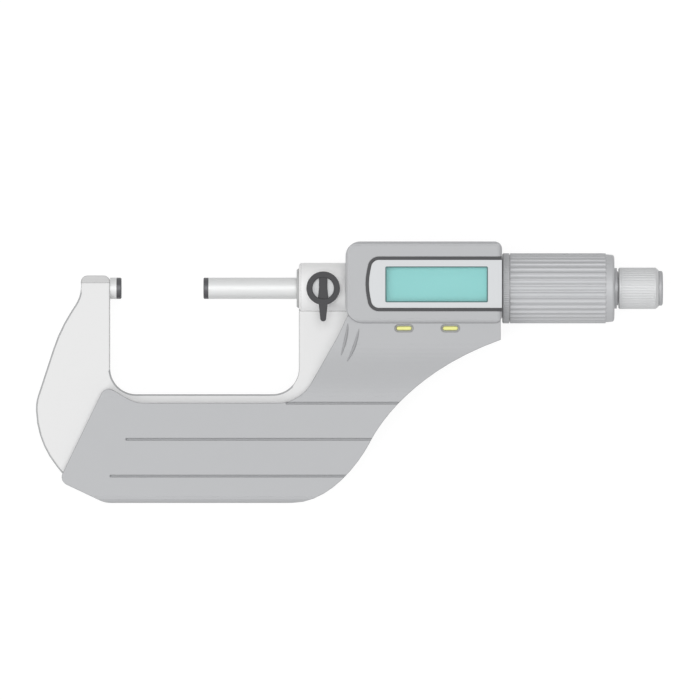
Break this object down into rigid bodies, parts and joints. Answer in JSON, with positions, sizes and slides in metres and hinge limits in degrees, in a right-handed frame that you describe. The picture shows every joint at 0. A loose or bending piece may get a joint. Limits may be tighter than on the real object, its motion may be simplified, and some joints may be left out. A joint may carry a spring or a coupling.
{
  "type": "digital micrometer",
  "caption": "Digital outside micrometer with a C-frame, moulded grip covers, display housing, lock lever, fluted thimble and ratchet stop, lying on its back.",
  "frame": {"origin": "middle of the anvil's measuring face, on the spindle axis", "axes": "+X along the spindle from the anvil towards the thimble, +Y towards the top of the display, +Z out of the display"},
  "size_m": [0.191, 0.0796, 0.0257],
  "materials": {
    "frame_paint": "light grey enamel, fine orange peel",
    "steel": "fine ground steel",
    "carbide": "lapped carbide",
    "satin_chrome": "satin chrome plate",
    "screw_steel": "zinc plated",
    "cap_steel": "turned and plated",
    "brass": "turned brass",
    "cover_plastic": "moulded, fine texture",
    "dark_plastic": "moulded",
    "panel_plastic": "smooth film",
    "button_plastic": "smooth",
    "clear_window": "clear, polished",
    "lcd_film": "pale teal polariser",
    "board_resin": "lacquered board",
    "seal_rubber": "moulded rubber",
    "lever_paint": "dark grey enamel"
  },
  "bodies": {
    "frame_and_display": {"frame": "frame_paint", "anvil": "steel", "anvil_tip": "carbide", "spindle_bush": "brass", "spindle_seal": "seal_rubber", "front_cover": "cover_plastic", "rear_cover": "cover_plastic", "cover_screws": "screw_steel", "display_border": "dark_plastic", "display_panel": "panel_plastic", "display_window": "clear_window", "lcd": "lcd_film", "contact_strips": "seal_rubber", "circuit_board": "board_resin", "board_screws": "screw_steel", "button_switches": "dark_plastic", "stator": "board_resin", "inner_sleeve": "steel", "graduated_sleeve": "satin_chrome", "adjusting_nut": "steel", "lock_shoe": "brass", "battery_holder": "dark_plastic", "battery": "steel", "battery_spring": "brass", "battery_leads": "brass", "battery_cap_seal": "seal_rubber"},
    "rotor": {"rotor_bush": "steel", "rotor_disc": "board_resin", "rotor_key": "steel"},
    "spindle_and_thimble": {"spindle": "steel", "spindle_tip": "carbide", "thimble": "satin_chrome", "ratchet_hub": "steel", "ratchet_screw": "screw_steel"},
    "ratchet": {"ratchet_disc": "steel", "ratchet_spring": "steel", "ratchet_knob": "satin_chrome", "ratchet_cap": "satin_chrome"},
    "lock": {"lock_lever": "lever_paint", "lock_bolt": "steel"},
    "left_button": {"button_left": "button_plastic"},
    "right_button": {"button_right": "button_plastic"},
    "cell_cap": {"battery_cap": "cap_steel"}
  },
  "joints": [
    {"name": "spindle_turn", "type": "hinge", "parent": "frame_and_display", "child": "rotor", "pos_m": [0.09, 0, 0], "axis": [1, 0, 0], "range_deg": [0, 18001]},
    {"name": "spindle_feed", "type": "slide", "parent": "rotor", "child": "spindle_and_thimble", "axis": [1, 0, 0], "range_m": [0, 0.025]},
    {"name": "ratchet_turn", "type": "hinge", "parent": "spindle_and_thimble", "child": "ratchet", "pos_m": [0.157, 0, 0], "axis": [1, 0, 0], "continuous": true},
    {"name": "lock_turn", "type": "hinge", "parent": "frame_and_display", "child": "lock", "pos_m": [0.0615, 0, 0.0095], "axis": [0, 0, 1], "range_deg": [-60, 0]},
    {"name": "left_button_press", "type": "slide", "parent": "frame_and_display", "child": "left_button", "axis": [0, 0, -1], "range_m": [0, 0.0004], "stiffness_N_per_m": 1500, "springref_m": -0.0001},
    {"name": "right_button_press", "type": "slide", "parent": "frame_and_display", "child": "right_button", "axis": [0, 0, -1], "range_m": [0, 0.0004], "stiffness_N_per_m": 1500, "springref_m": -0.0001},
    {"name": "battery_cap_turn", "type": "hinge", "parent": "frame_and_display", "child": "cell_cap", "pos_m": [0.08149, -0.0206, -0.0105], "axis": [0, 0, -1], "range_deg": [0, 60]}
  ],
  "couplings": [
    {"joint": "spindle_turn", "follows": "spindle_feed", "rad_per_m": 12566}
  ]
}
